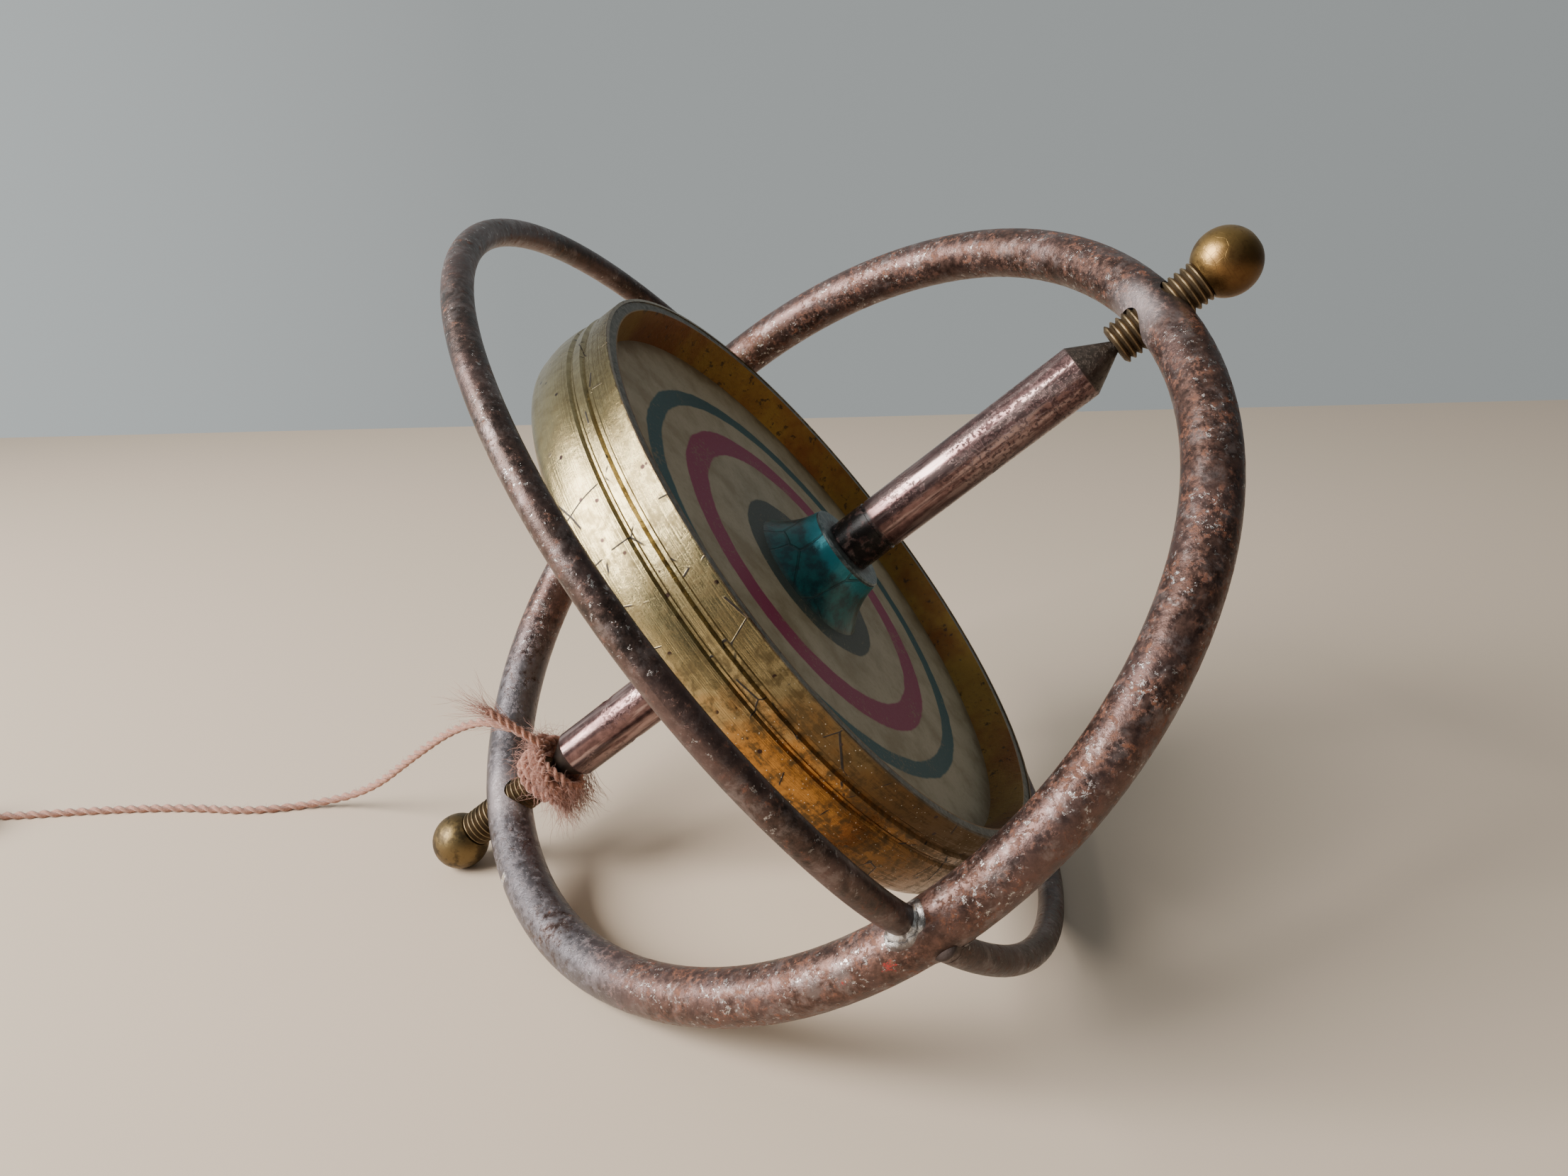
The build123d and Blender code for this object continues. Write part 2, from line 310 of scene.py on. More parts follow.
# ---- Solder smeared from each guard end onto the ring's rod ----
rod = 2.4          # radii of the two rods, mm
guard_rod = 1.25
rod_x = -38.8      # local X of the ring rod's middle, mm
near_end = (-38.26, -0.34)   # local X and Z of each guard half's end, mm
far_end = (-40.42, 1.147)
skin = 0.12        # thickness of the smears, mm


def cap_on_end(vertices, faces, end):
    """Low dome of solder over the far half's cut end, where it stands out past the ring's rod."""
    first, around, rows = len(vertices), 40, 7
    height, sunk = 0.55, 0.12
    for n in range(rows):
        rise = 0.5 * pi * n / rows
        for k in range(around):
            turn = tau * k / around
            out = (guard_rod + 0.02) * cos(rise)
            vertices.append(at(end[0] + out * cos(turn), height * sin(rise) - sunk, end[1] + out * sin(turn)))
    for n in range(rows - 1):
        for k in range(around):
            a, b = first + n * around + k, first + n * around + (k + 1) % around
            faces.append((a, a + around, b + around, b))
    faces.append(tuple(first + (rows - 1) * around + k for k in reversed(range(around))))


def solder_smear(name, way, end):
    """An uneven skirt of solder from a guard end onto the rod; way is 1 in front and -1 behind."""
    vertices, faces = [], []
    around, rows = 64, 12
    for k in range(around):
        turn = tau * k / around
        wander = Vector((cos(turn), sin(turn), 0.4 * way)) * 1.4
        if way > 0:
            rim = 1.95 + 0.7 * noise.noise(wander)
        else:
            on_rod = min(1, max(0, 0.75 + 0.9 * cos(turn)))
            rim = 1.42 + 0.75 * on_rod + 0.7 * noise.noise(wander) * on_rod
        room = 2.2 + (rod_x - end[0]) * (1 if cos(turn) > 0 else -1)   # to the edge of the rod
        rim = min(rim, room / max(abs(cos(turn)), 0.01))
        climb = 0.24 + 0.22 * noise.noise(wander + Vector((5, 5, 5)))
        for n in range(rows):
            share = n / (rows - 1)
            reach = guard_rod - 0.03 + (rim - guard_rod) * share
            x, z = end[0] + reach * cos(turn), end[1] + reach * sin(turn)
            surface = sqrt(max(0.2, rod**2 - (x - rod_x) ** 2))
            lumps = 0.1 * noise.noise(Vector((x, z, way)) * 1.5) * (1 - share)
            height = surface + climb * (1 - share) ** 2.4 + lumps + 0.03 - 0.1 * share**6
            vertices.append(at(x, way * height, z))
    for k in range(around):
        for n in range(rows - 1):
            a, b = k * rows + n, ((k + 1) % around) * rows + n
            faces.append((a, a + 1, b + 1, b) if way < 0 else (a, b, b + 1, a + 1))
    if way < 0:
        cap_on_end(vertices, faces, end)
    smear = mesh_object(name, vertices, faces)
    thick = smear.modifiers.new("thick", "SOLIDIFY")
    thick.thickness = skin * MM
    thick.offset = -1
    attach(smear, "ring_frame")
    return smear


smear_front = solder_smear("solder_smear_front", 1, near_end)
smear_back = solder_smear("solder_smear_back", -1, far_end)
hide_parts("solder_near")
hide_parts("solder_far")

for piece in (string, knot, fuzz):
    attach(piece, "ring_frame")
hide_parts("pull_string", "string_coil")
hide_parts("string_loop")


# ---- Materials ----
class Look:
    """One procedural material. Its places are in mm, in the gyroscope's own axes."""

    def __init__(self, name, **shader):
        self.material = bpy.data.materials.new(name)
        self.material.use_nodes = True
        self.tree = self.material.node_tree
        self.shader = self.tree.nodes["Principled BSDF"]
        self.set(**shader)
        place = self.tree.nodes.new("ShaderNodeTexCoord").outputs["Object"]
        mapping = self.tree.nodes.new("ShaderNodeMapping")
        mapping.vector_type = "TEXTURE"
        mapping.inputs["Location"].default_value = centre
        mapping.inputs["Rotation"].default_value = own_axes.to_euler()
        mapping.inputs["Scale"].default_value = (MM, MM, MM)
        self.tree.links.new(place, mapping.inputs["Vector"])
        self.place = mapping.outputs["Vector"]
        self.x, self.y, self.z = self.node("ShaderNodeSeparateXYZ", {0: self.place}).outputs

    def put(self, socket, value):
        if isinstance(value, bpy.types.NodeSocket):
            self.tree.links.new(value, socket)
        elif hasattr(value, "__len__") and len(value) == 3 and socket.type == "RGBA":
            socket.default_value = (*value, 1)
        else:
            socket.default_value = value

    def set(self, **shader):
        for name, value in shader.items():
            self.put(self.shader.inputs[name.replace("_", " ")], value)

    def node(self, kind, inputs, **settings):
        made = self.tree.nodes.new(kind)
        for key, value in settings.items():
            setattr(made, key, value)
        for key, value in inputs.items():
            self.put(made.inputs[key], value)
        return made

    def maths(self, operation, *values):
        return self.node("ShaderNodeMath", dict(enumerate(values)), operation=operation).outputs[0]

    def add(self, *values):
        total = values[0]
        for value in values[1:]:
            total = self.maths("ADD", total, value)
        return total

    def times(self, *values):
        product = values[0]
        for value in values[1:]:
            product = self.maths("MULTIPLY", product, value)
        return product

    def moved(self, offset=(0, 0, 0), scale=(1, 1, 1)):
        """The places moved and stretched."""
        return self.node(
            "ShaderNodeMapping", {"Vector": self.place, "Location": offset, "Scale": scale}
        ).outputs["Vector"]

    def noise(self, scale, detail=4, rough=0.6, distortion=0.0, place=None):
        return self.node(
            "ShaderNodeTexNoise",
            {
                "Vector": place or self.place,
                "Scale": scale,
                "Detail": detail,
                "Roughness": rough,
                "Distortion": distortion,
            },
        ).outputs["Fac"]

    def cells(self, scale, feature="F1", place=None):
        return self.node(
            "ShaderNodeTexVoronoi", {"Vector": place or self.place, "Scale": scale}, feature=feature
        ).outputs["Distance"]

    def distance(self, place):
        return self.node(
            "ShaderNodeVectorMath", {0: self.place, 1: place}, operation="DISTANCE"
        ).outputs["Value"]

    def part(self, value, low, high):
        """0 below low, 1 above high, and smooth between."""
        return self.node(
            "ShaderNodeMapRange", {0: value, 1: low, 2: high}, interpolation_type="SMOOTHSTEP"
        ).outputs[0]

    def within(self, value, low, high, soft):
        """1 between low and high."""
        return self.times(
            self.part(value, low - soft, low + soft), self.part(value, high + soft, high - soft)
        )

    def mix(self, share, first, second):
        made = self.node("ShaderNodeMix", {0: share, 6: first, 7: second}, data_type="RGBA")
        return made.outputs[2]

    def bump(self, height, depth_mm, under=None):
        inputs = {"Height": height, "Distance": depth_mm * MM, "Strength": 1.0}
        if under:
            inputs["Normal"] = under
        return self.node("ShaderNodeBump", inputs).outputs["Normal"]

    def unrolled(self):
        """Places unrolled round the spin axis at the rim's radius, for turned marks."""
        angle = self.maths("ARCTAN2", self.y, self.x)
        return self.node(
            "ShaderNodeCombineXYZ", {0: self.radius(), 1: self.times(angle, 30.0), 2: self.z}
        ).outputs[0]

    def radius(self):
        return self.maths(
            "SQRT", self.add(self.maths("MULTIPLY", self.x, self.x), self.maths("MULTIPLY", self.y, self.y))
        )


def rod_look(name, dark, brown, rust_share, silver_share, shine, marks=None):
    """Rust-brown steel rod, polished and pitted by handling."""
    look = Look(name)
    broad = look.noise(0.13, 3)
    fine = look.noise(1.3, 6, 0.68)
    pits = look.noise(3.4, 4, 0.65, place=look.moved((11, 3, 7)))
    patches = look.noise(1.5, 7, 0.76, 0.3, look.moved((40, 9, 2)))
    zones = look.part(look.noise(0.3, 3, place=look.moved((7, 19, 4))), 0.38, 0.56)
    scuffs = look.part(look.noise(0.45, 7, 0.72, 0.2, look.moved((14, 2, 33))), 0.5, 0.64)
    colour = look.mix(look.part(fine, 0.3, 0.7), dark, brown)
    colour = look.mix(look.times(look.part(broad, 0.42, 0.62), 0.45), colour, (0.15, 0.095, 0.088))
    colour = look.mix(look.times(scuffs, 0.5), colour, (0.25, 0.20, 0.19))
    rust = look.times(
        look.part(look.add(patches, look.times(fine, 0.35)), 0.76 - rust_share, 0.88 - rust_share), zones
    )
    rust_colour = look.mix(look.part(pits, 0.38, 0.62), (0.12, 0.036, 0.018), (0.26, 0.085, 0.03))
    colour = look.mix(look.times(rust, 0.62), colour, rust_colour)
    flecks = look.noise(2.0, 5, 0.74, 0.2, look.moved((3, 31, 17)))
    handled = look.part(look.noise(0.24, 3, place=look.moved((23, 1, 5))), 0.42, 0.54)
    worn = look.times(look.part(flecks, 0.66 - silver_share, 0.72 - silver_share), handled)
    colour = look.mix(look.times(worn, 0.85), colour, (0.50, 0.47, 0.45))
    metal = look.add(0.76, look.times(rust, -0.55), look.times(worn, 0.22))
    roughness = look.add(
        shine, look.times(look.part(fine, 0.35, 0.7), 0.16), look.times(rust, 0.28), look.times(worn, -0.12)
    )
    if marks:
        colour, metal, roughness = marks(look, colour, metal, roughness, broad, fine)
    height = look.add(
        look.times(fine, 0.7), look.times(pits, 0.8), look.times(rust, 0.3), look.times(worn, -0.25)
    )
    look.set(
        Base_Color=colour,
        Roughness=roughness,
        Metallic=metal,
        Normal=look.bump(height, 0.036, look.bump(broad, 0.25)),
    )
    return look.material


def ring_marks(look, colour, metal, roughness, broad, fine):
    """The outer ring's own marks: a grey stretch, a nick, red specks, darkening right round the screw holes
    and scuffs by the screws.
    """
    low = look.times(look.part(look.z, -25, -33), look.part(look.x, 24, 14))
    grey = look.times(low, look.part(look.add(fine, look.times(broad, 0.5)), 0.5, 0.72), 0.85)
    colour = look.mix(grey, colour, look.mix(fine, (0.09, 0.085, 0.092), (0.2, 0.19, 0.205)))
    nick_x, nick_z = -0.253, -0.968   # the way from the middle out to the nick
    along_rod = look.maths("ABSOLUTE", look.add(look.times(look.x, -nick_z), look.times(look.z, nick_x)))
    outward = look.add(look.times(look.x, nick_x), look.times(look.z, nick_z))
    nick = look.times(
        look.part(along_rod, 0.42, 0.26),
        look.part(look.y, 0.0, 0.5),
        look.part(look.z, 0, -2),
        look.part(outward, 41.5, 41.9),
    )
    colour = look.mix(nick, colour, (0.8, 0.78, 0.75))
    metal = look.add(metal, look.times(nick, 0.3), look.times(grey, 0.1))
    roughness = look.add(roughness, look.times(grey, 0.04), look.times(nick, -0.15))
    ragged = look.noise(3.2, 5, 0.75)
    red_specks = (((-40.6, 1.5, -2.8), 0.8), ((-40.0, 1.9, -6.8), 0.55))   # place and size
    for place, size in red_specks:
        apart = look.distance(place)
        speck = look.part(look.add(apart, look.times(ragged, 3.6)), size + 1.36, size + 1.1)
        colour = look.mix(look.times(speck, 0.85), colour, (0.34, 0.014, 0.01))
        metal = look.add(metal, look.times(speck, -0.7))
    screws = look.part(look.add(look.radius(), look.times(fine, 1.5)), 4.6, 3.0)
    height = look.maths("ABSOLUTE", look.z)
    # Darker right round each screw hole on the ring's outer face.
    dark_by_screws = look.times(screws, look.part(height, 41.3, 42.8), 0.85)
    colour = look.mix(dark_by_screws, colour, (0.035, 0.028, 0.026))
    scuff = look.times(
        look.part(look.add(look.radius(), look.times(fine, 2.5)), 6.2, 3.6), look.part(height, 42.4, 41.0)
    )
    colour = look.mix(look.times(scuff, 0.6), colour, (0.36, 0.31, 0.31))
    roughness = look.add(roughness, look.times(screws, 0.1))
    return colour, metal, roughness


def spindle_look():
    """Browned steel, polished along its length and pitted in patches."""
    look = Look("browned_spindle")
    fine = look.noise(1.1, 6, 0.65)
    pits = look.noise(2.4, 5, 0.68, place=look.moved((5, 5, 5)))
    drawn = look.noise(1.3, 4, 0.6, place=look.moved(scale=(1, 1, 0.1)))
    upper_end = look.part(look.z, 12, 26)
    pitted = look.noise(0.3, 4, place=look.moved((9, 2, 6)))
    pitted = look.part(look.add(pitted, look.times(upper_end, 0.25)), 0.5, 0.75)
    colour = look.mix(look.part(fine, 0.3, 0.7), (0.09, 0.05, 0.048), (0.2, 0.115, 0.108))
    colour = look.mix(look.times(look.part(drawn, 0.45, 0.62), 0.7), colour, (0.42, 0.30, 0.28))
    rough_patch = look.times(look.part(pits, 0.5, 0.58), pitted)
    colour = look.mix(look.times(rough_patch, 0.6), colour, (0.04, 0.02, 0.02))
    grease = look.times(look.within(look.z, 5.0, 10.3, 0.25), look.part(look.noise(1.2, 4), 0.3, 0.5))
    colour = look.mix(grease, colour, (0.008, 0.006, 0.006))
    cone = look.add(look.part(look.z, 33.0, 33.4), look.part(look.z, -30.6, -31.2))
    colour = look.mix(cone, colour, look.mix(fine, (0.03, 0.022, 0.018), (0.14, 0.11, 0.09)))
    hole_turn = radians(47.7)
    hole = look.distance((2.6 * cos(hole_turn), 2.6 * sin(hole_turn), -24.0))
    stain = look.part(look.add(hole, look.times(fine, 1.2)), 2.3, 1.6)
    colour = look.mix(look.times(stain, 0.8), colour, (0.10, 0.014, 0.01))
    look.set(
        Base_Color=colour,
        Metallic=look.add(0.85, look.times(grease, -0.7)),
        Roughness=look.add(
            0.12,
            look.times(fine, 0.12),
            look.times(cone, 0.2),
            look.times(grease, 0.1),
            look.times(rough_patch, 0.3),
        ),
        Normal=look.bump(
            look.add(look.times(rough_patch, -0.7), look.times(fine, 0.2), look.times(drawn, 0.12)), 0.025
        ),
    )
    return look.material


def brass_look(name, bright, dark, dull_share, threads=False, rough=0.3, browned=0.0):
    """Aged brass: mottled, finely scratched, darkened brown on its underside as painted shade; a thread is
    dark in its hollows.
    """
    look = Look(name, Metallic=1.0)
    mottle = look.noise(0.55, 6, 0.65)
    fine = look.noise(3.0, 4, 0.6)
    scratches = look.cells(0.9, "DISTANCE_TO_EDGE", look.moved(scale=(1, 0.2, 1.6)))
    scratches = look.part(scratches, 0.02, 0.0)
    colour = look.mix(look.part(mottle, 0.62 - dull_share, 0.75 - dull_share), bright, dark)
    colour = look.mix(look.times(look.part(fine, 0.5, 0.75), 0.22), colour, (0.09, 0.055, 0.022))
    colour = look.mix(look.times(scratches, 0.3), colour, (0.10, 0.06, 0.02))
    # Painted shade: the side facing down and to the front is darkened brown, as strongly as browned says.
    underside = look.part(look.add(look.x, look.times(mottle, 1.5)), 0.6, -2.4)
    colour = look.mix(look.times(underside, browned), colour, (0.09, 0.042, 0.018))
    roughness = look.add(rough, look.times(mottle, 0.18), look.times(fine, 0.12))
    if threads:
        crest = look.part(look.radius(), 1.68, 1.9)
        colour = look.mix(crest, (0.15, 0.11, 0.07), colour)
        roughness = look.add(roughness, look.times(crest, -0.08), 0.05)
    look.set(
        Base_Color=colour,
        Roughness=roughness,
        Normal=look.bump(look.add(fine, look.times(scratches, -0.4)), 0.012),
    )
    return look.material


def rim_look():
    """The wheel's brass skin: pale on top as a painted highlight, orange lower down and towards the rear
    where lacquer is left, darker at the bottom as painted shade, with drips and dust.
    """
    look = Look("turned_brass_rim", Metallic=1.0)
    rim_radius = 31.9
    up = look.add(
        look.times(look.x, sin(ring_turn) / rim_radius), look.times(look.y, cos(ring_turn) / rim_radius)
    )
    unrolled = look.unrolled()
    broad = look.noise(0.14, 4, 0.6)
    mottle = look.noise(0.9, 6, 0.7, 0.3)
    fine = look.noise(3.2, 5, 0.65)
    streak_place = look.node(
        "ShaderNodeMapping", {"Vector": unrolled, "Scale": (1, 0.07, 1.5)}
    ).outputs["Vector"]
    streaks = look.noise(2.2, 5, 0.7, place=streak_place)
    turned_place = look.node(
        "ShaderNodeMapping", {"Vector": unrolled, "Scale": (0.3, 0.004, 9)}
    ).outputs["Vector"]
    turned = look.noise(1.0, 3, 0.5, place=turned_place)
    # Painted highlight: the rim is paler towards the top; lower down and towards the rear it turns
    # orange-gold.
    orange = look.part(
        look.add(up, look.times(look.add(broad, -0.5), -1.1), look.times(look.z, 0.06)), 0.16, -0.12
    )
    pale = look.mix(look.part(mottle, 0.35, 0.65), (0.40, 0.325, 0.165), (0.27, 0.21, 0.10))
    gold = look.mix(look.part(mottle, 0.35, 0.7), (0.46, 0.225, 0.06), (0.27, 0.12, 0.03))
    # Painted shade: the gold darkens towards the bottom of the rim.
    gold = look.mix(look.part(up, -0.15, -0.75), gold, (0.15, 0.078, 0.026))
    colour = look.mix(orange, pale, gold)
    tarnish = look.times(
        look.part(look.add(mottle, look.times(streaks, 0.6), look.times(broad, 0.5)), 0.98, 1.2),
        look.part(up, 0.75, 0.2),
    )
    colour = look.mix(look.times(tarnish, 0.8), colour, (0.095, 0.07, 0.035))
    # A dusty, duller band low on the rim near its front edge, darkened there as painted shade.
    dust_and_shade_band = look.times(
        look.part(look.add(up, look.times(mottle, 0.4)), 0.28, -0.02),
        look.part(look.add(look.z, look.times(mottle, 1.6)), 2.2, 3.6),
    )
    colour = look.mix(look.times(dust_and_shade_band, 0.75), colour, (0.10, 0.06, 0.02))
    drip_place = look.node(
        "ShaderNodeMapping", {"Vector": unrolled, "Location": (0, 3, 9), "Scale": (0.6, 0.55, 0.4)}
    ).outputs["Vector"]
    drips = look.times(
        look.part(look.cells(0.4, "DISTANCE_TO_EDGE", drip_place), 0.016, 0.006),
        look.part(look.noise(0.3, 2, place=look.moved((8, 8, 8))), 0.52, 0.56),
    )
    colour = look.mix(drips, colour, (0.02, 0.014, 0.01))
    spots = look.times(look.part(look.cells(0.7), 0.16, 0.1), look.part(look.noise(0.25, 2), 0.5, 0.55))
    colour = look.mix(spots, colour, (0.05, 0.03, 0.025))
    dust = look.times(
        look.part(look.cells(2.4), 0.13, 0.08), look.part(look.add(up, look.times(broad, 0.5)), 0.35, 0.1)
    )
    colour = look.mix(look.times(dust, 0.8), colour, (0.75, 0.66, 0.5))
    edge = look.part(look.add(look.z, look.times(mottle, 0.5)), 5.0, 5.12)
    colour = look.mix(look.times(edge, 0.8), colour, (0.12, 0.08, 0.04))
    roughness = look.add(
        0.12,
        look.times(mottle, 0.16),
        look.times(tarnish, 0.25),
        look.times(dust_and_shade_band, 0.22),
        look.times(dust, 0.3),
        look.times(drips, 0.2),
        look.times(streaks, 0.08),
    )
    height = look.add(
        look.times(turned, 0.8), look.times(streaks, 0.8), look.times(fine, 0.25), look.times(drips, 0.6)
    )
    look.set(
        Base_Color=colour,
        Roughness=roughness,
        Metallic=look.add(1.0, look.times(dust, -0.8), look.times(dust_and_shade_band, -0.35), look.times(drips, -0.6)),
        Normal=look.bump(height, 0.03, look.bump(mottle, 0.035)),
    )
    return look.material


def core_look(name):
    """Grey casting; its wall inside the rim is stained ochre and its turned front face is bare."""
    look = Look(name)
    grain = look.noise(2.2, 6, 0.7)
    broad = look.noise(0.12, 4, 0.6)
    grey = look.mix(look.part(grain, 0.35, 0.7), (0.085, 0.085, 0.07), (0.22, 0.22, 0.19))
    ochre = look.mix(look.part(broad, 0.35, 0.65), (0.17, 0.065, 0.018), (0.25, 0.15, 0.035))
    ochre = look.mix(look.part(grain, 0.55, 0.8), ochre, (0.07, 0.045, 0.022))
    wall = look.times(look.part(look.radius(), 30.15, 29.95), look.part(look.z, -1.0, 0.5))
    colour = look.mix(wall, grey, ochre)
    chips = look.part(look.noise(0.9, 5, 0.7), 0.6, 0.64)
    colour = look.mix(look.times(chips, 0.7), colour, (0.035, 0.03, 0.025))
    look.set(
        Base_Color=colour,
        Metallic=look.add(0.35, look.times(wall, 0.45)),
        Roughness=look.add(0.42, look.times(grain, 0.2), look.times(wall, -0.1)),
        Normal=look.bump(look.add(grain, look.times(chips, -0.5)), 0.05),
    )
    return look.material


def print_look():
    """Cream disc with printed rings in dark green-grey, magenta and teal, rubbed and stained, and darkened at
    its edge by the rim wall as painted shade.
    """
    look = Look("printed_disc")
    wander = look.times(look.add(look.noise(0.35, 3), -0.5), 0.5)
    radius = look.add(look.radius(), wander)
    fibres = look.noise(2.6, 5, 0.7)
    stain = look.noise(0.22, 4, 0.6)
    cream = look.mix(look.part(stain, 0.35, 0.7), (0.43, 0.375, 0.255), (0.29, 0.235, 0.14))
    cream = look.mix(look.times(look.part(fibres, 0.5, 0.75), 0.35), cream, (0.19, 0.155, 0.10))
    inks = (   # inner and outer radius, mm, and colour
        (0.0, 9.3, (0.035, 0.055, 0.05)),
        (14.8, 17.8, (0.27, 0.008, 0.08)),
        (21.0, 22.9, (0.0, 0.075, 0.09)),
    )
    kept = look.part(look.add(fibres, look.times(stain, 0.6)), 1.02, 0.86)
    colour = cream
    for inner, outer, ink in inks:
        band = look.within(radius, inner, outer, 0.12)
        colour = look.mix(look.times(band, look.add(0.4, look.times(kept, 0.55))), colour, ink)
    # Painted shade: brown darkening on the disc's outer edge, next to the rim's wall.
    painted_rim_shade = look.part(look.add(look.radius(), look.times(stain, 3.0)), 28.2, 30.6)
    colour = look.mix(look.times(painted_rim_shade, 0.7), colour, (0.13, 0.085, 0.04))
    look.set(
        Base_Color=colour,
        Roughness=look.add(0.42, look.times(fibres, 0.25)),
        Normal=look.bump(look.add(fibres, stain), 0.03),
    )
    return look.material


def lacquer_look():
    """Deep teal lacquer on the bosses, crazed and worn at the top edge."""
    look = Look("teal_lacquer", Coat_Weight=0.3, Coat_Roughness=0.2)
    mottle = look.noise(0.8, 5, 0.65)
    crease = look.cells(0.2, "DISTANCE_TO_EDGE", look.moved((2, 4, 1), (1, 1, 0.45)))
    crease = look.part(crease, 0.022, 0.006)
    high = look.part(look.add(look.maths("ABSOLUTE", look.z), look.times(mottle, 1.2)), 4.9, 5.9)
    colour = look.mix(look.part(mottle, 0.35, 0.65), (0.0, 0.04, 0.05), (0.0, 0.125, 0.13))
    colour = look.mix(look.times(high, 0.8), colour, (0.0, 0.26, 0.32))
    colour = look.mix(look.times(crease, 0.5), colour, (0.002, 0.03, 0.03))
    foot = look.part(look.maths("ABSOLUTE", look.z), 1.9, 1.6)
    colour = look.mix(look.times(foot, 0.5), colour, (0.05, 0.06, 0.05))
    look.set(
        Base_Color=colour,
        Metallic=0.35,
        Roughness=look.add(0.2, look.times(mottle, 0.22)),
        Normal=look.bump(look.add(mottle, look.times(crease, -0.7)), 0.09),
    )
    return look.material


def collar_look():
    """Worn grey metal, black with grease near the spindle."""
    look = Look("worn_collar")
    grain = look.noise(2.4, 5, 0.7)
    greasy = look.part(look.add(look.radius(), look.times(grain, 1.2)), 4.2, 3.2)
    colour = look.mix(look.part(grain, 0.4, 0.65), (0.09, 0.13, 0.135), (0.24, 0.28, 0.28))
    colour = look.mix(look.times(greasy, 0.95), colour, (0.006, 0.006, 0.006))
    look.set(
        Base_Color=colour,
        Metallic=look.add(0.8, look.times(greasy, -0.7)),
        Roughness=look.add(0.32, look.times(grain, 0.25)),
        Normal=look.bump(grain, 0.05),
    )
    return look.material


def solder_look(name, end):
    """Grey solder, bright in patches, with a dark crack round the guard's end and a browned cap."""
    look = Look(name)
    grain = look.noise(1.1, 6, 0.68)
    bright = look.part(look.add(look.noise(0.55, 3), look.times(grain, 0.3)), 0.56, 0.7)
    bright = look.times(bright, look.part(look.x, -40.6, -39.4))
    dull_grey = look.mix(grain, (0.07, 0.055, 0.05), (0.3, 0.27, 0.255))
    silver = look.mix(grain, (0.5, 0.49, 0.475), (0.8, 0.78, 0.76))
    colour = look.mix(bright, dull_grey, silver)
    from_x, from_z = look.add(look.x, -end[0]), look.add(look.z, -end[1])
    apart = look.maths("SQRT", look.add(look.times(from_x, from_x), look.times(from_z, from_z)))
    thin = look.part(look.add(apart, look.times(grain, 0.9)), 2.3, 2.65)
    crack = look.within(look.add(apart, look.times(grain, 1.1)), 2.16, 2.25, 0.05)
    colour = look.mix(look.times(thin, 0.85), colour, (0.07, 0.045, 0.04))
    colour = look.mix(look.times(crack, 0.9), colour, (0.012, 0.01, 0.009))
    cap = look.part(apart, 1.4, 1.2)
    colour = look.mix(look.times(cap, 0.9), colour, (0.05, 0.034, 0.029))
    look.set(
        Base_Color=colour,
        Metallic=look.add(0.85, look.times(crack, -0.6)),
        Roughness=look.add(0.14, look.times(grain, 0.25), look.times(crack, 0.3), look.times(cap, 0.35)),
        Normal=look.bump(grain, 0.1),
    )
    return look.material


def string_look(name, pale, deep):
    """Twisted cotton or jute twine."""
    look = Look(name, Roughness=0.9, Sheen_Weight=0.35, Sheen_Roughness=0.6, Specular_IOR_Level=0.2)
    strands = look.noise(5.5, 4, 0.7)
    patches = look.noise(0.3, 3)
    colour = look.mix(look.part(strands, 0.3, 0.7), deep, pale)
    colour = look.mix(look.times(look.part(patches, 0.45, 0.65), 0.4), colour, deep)
    look.set(Base_Color=colour, Normal=look.bump(strands, 0.05))
    return look.material


outer_look = rod_look(
    "rust_brown_rod", (0.045, 0.026, 0.022), (0.145, 0.080, 0.062), 0.09, 0.085, 0.29, ring_marks
)
guard_look = rod_look("rust_brown_wire", (0.032, 0.023, 0.020), (0.105, 0.066, 0.054), 0.03, 0.065, 0.3)
looks = {
    "outer_ring": outer_look,
    "guard_half_near": guard_look,
    "guard_half_far": guard_look,
    "spindle": spindle_look(),
    "web": core_look("grey_casting"),
    "front_print": print_look(),
    "front_boss": lacquer_look(),
    "front_collar": collar_look(),
    "rim_core": core_look("rim_casting"),
    "rim_shell": rim_look(),
    # browned gives the upper knob and its thread painted shade on their undersides.
    "upper_knob": brass_look(
        "aged_brass_knob", (0.36, 0.225, 0.08), (0.19, 0.115, 0.042), 0.13, rough=0.24, browned=0.85
    ),
    # The lower knob and its thread use darker copies of the brass, as painted shade.
    "lower_knob": brass_look("shaded_brass_knob", (0.17, 0.12, 0.055), (0.075, 0.055, 0.03), 0.16),
    "upper_screw": brass_look(
        "brass_thread", (0.27, 0.20, 0.115), (0.12, 0.085, 0.05), 0.14, True, 0.36, 0.6
    ),
    "lower_screw": brass_look(
        "shaded_brass_thread", (0.17, 0.125, 0.07), (0.08, 0.06, 0.035), 0.12, True, 0.38
    ),
    "solder_near": solder_look("bright_solder", near_end),
    "solder_far": solder_look("dull_solder", far_end),
}
looks["rear_print"] = looks["front_print"]
looks["rear_boss"] = looks["front_boss"]
looks["rear_collar"] = looks["front_collar"]
looks["solder_lap"] = looks["solder_far"]
for name, material in looks.items():
    node = frame["nodes"][name]
    node.data.materials.clear()
    node.data.materials.append(material)
smear_front.data.materials.append(looks["solder_near"])
smear_back.data.materials.append(looks["solder_far"])
string.data.materials.append(string_look("twine", (0.50, 0.27, 0.19), (0.26, 0.115, 0.08)))
knot.data.materials.append(string_look("knot_twine", (0.60, 0.30, 0.21), (0.30, 0.13, 0.09)))
fuzz.data.materials.append(string_look("loose_fibres", (0.62, 0.34, 0.26), (0.34, 0.16, 0.12)))


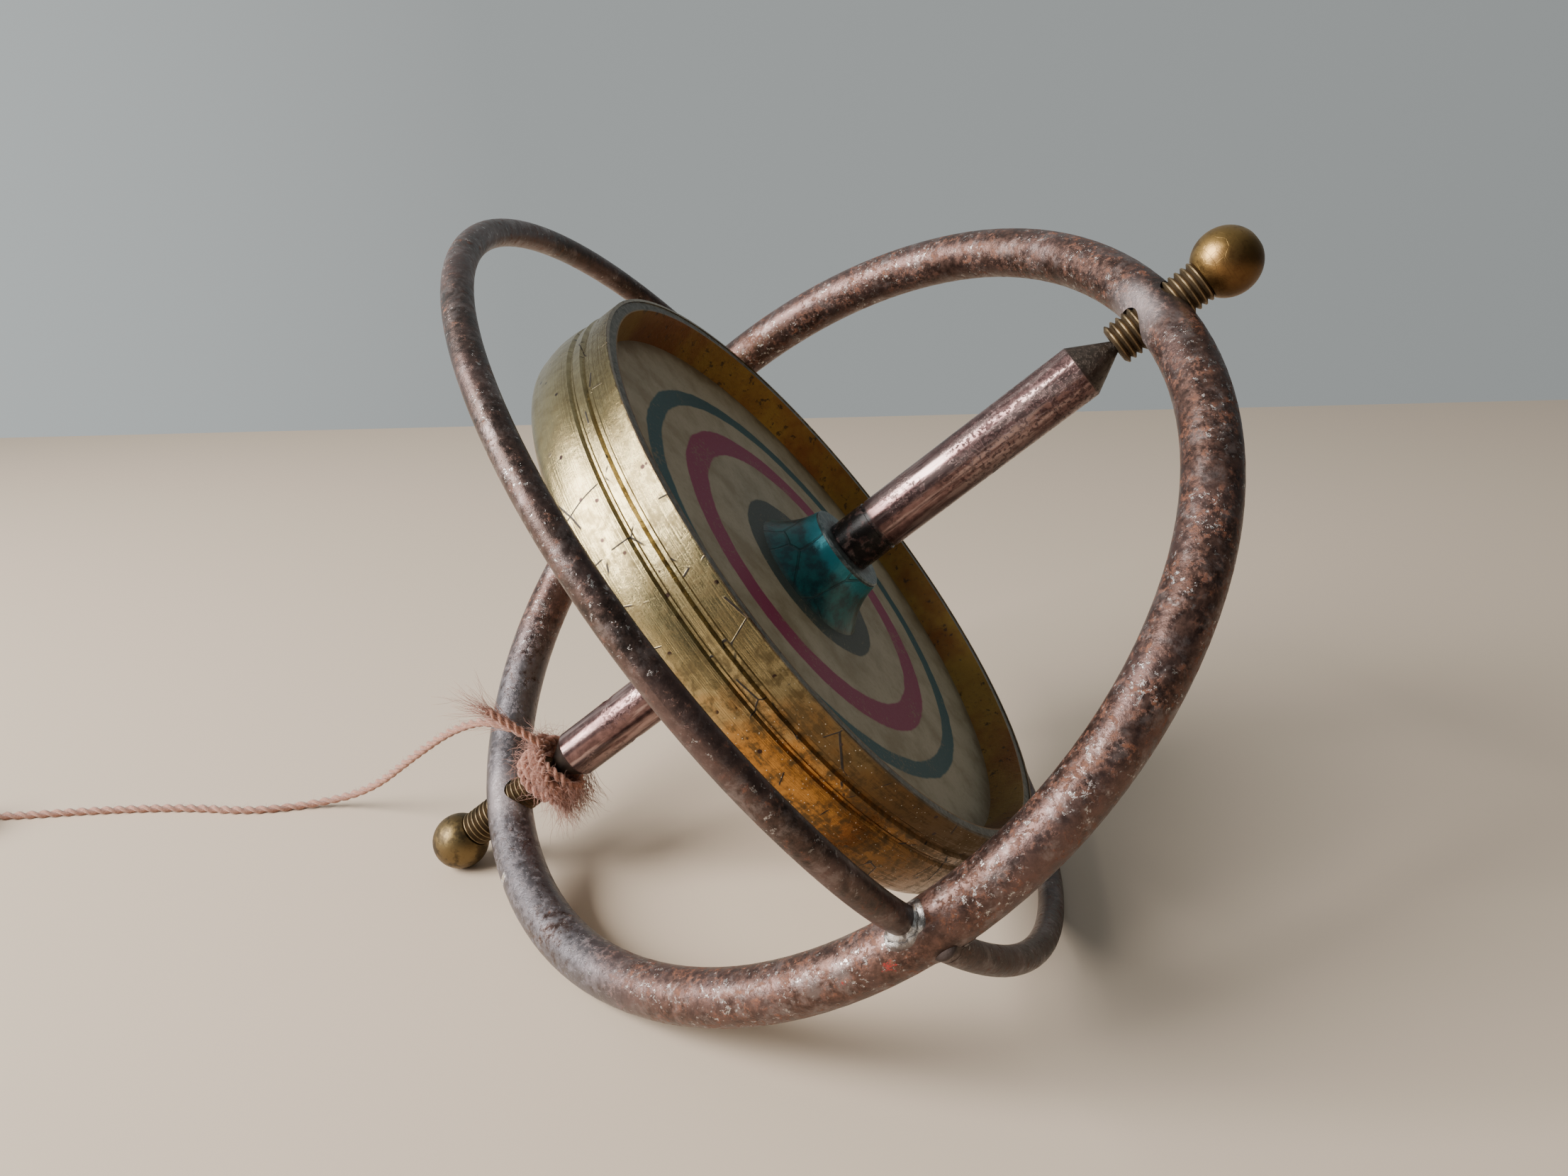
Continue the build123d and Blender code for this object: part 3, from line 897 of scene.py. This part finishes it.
# ---- Floor, light and surroundings ----
floor_corners = [(-0.6, -0.5, 0), (0.7, -0.5, 0), (0.7, 0.32, 0), (-0.6, 0.32, 0)]
floor = mesh_object("floor", floor_corners, [(0, 1, 2, 3)])
paint = bpy.data.materials.new("pale_floor")
paint.use_nodes = True
paint.node_tree.nodes["Principled BSDF"].inputs["Base Color"].default_value = (0.60, 0.49, 0.38, 1)
paint.node_tree.nodes["Principled BSDF"].inputs["Roughness"].default_value = 0.7
floor.data.materials.append(paint)

world = bpy.data.worlds.new("studio")
bpy.context.scene.world = world
world.use_nodes = True
sky = world.node_tree
background = sky.nodes["Background"]
direction = sky.nodes.new("ShaderNodeSeparateXYZ")
sky.links.new(sky.nodes.new("ShaderNodeTexCoord").outputs["Generated"], direction.inputs[0])
across_room = sky.nodes.new("ShaderNodeValToRGB")
room_greys = ((0.1, 0.62), (0.32, 0.40), (0.72, 0.33), (0.86, 0.12))   # from the left, bright, to the right
for n, (position, grey) in enumerate(room_greys):
    if n > 1:
        across_room.color_ramp.elements.new(position)
    element = across_room.color_ramp.elements[n]
    element.position = position
    element.color = (grey * 0.94, grey, grey, 1)
shifted = sky.nodes.new("ShaderNodeMapRange")
shifted.inputs[1].default_value = -1
sky.links.new(direction.outputs[0], shifted.inputs[0])
sky.links.new(shifted.outputs[0], across_room.inputs[0])
behind = sky.nodes.new("ShaderNodeMapRange")
behind.inputs[1].default_value = -0.5
behind.inputs[2].default_value = 0.3
behind.inputs[3].default_value = 0.62
behind.inputs[4].default_value = 1.0
sky.links.new(direction.outputs[1], behind.inputs[0])
sky.links.new(across_room.outputs[0], background.inputs["Color"])
sky.links.new(behind.outputs[0], background.inputs["Strength"])

window_way = Vector((-0.74, -0.38, 0.50)).normalized()
window = bpy.data.lights.new("window", "AREA")
window.shape = "RECTANGLE"
window.size = 0.36
window.size_y = 0.36
window.energy = 8.5
window.color = (1.0, 0.97, 0.94)
lamp = bpy.data.objects.new("window", window)
bpy.context.collection.objects.link(lamp)
lamp.location = centre + window_way * 0.55
lamp.rotation_euler = (-window_way).to_track_quat("-Z", "Y").to_euler()
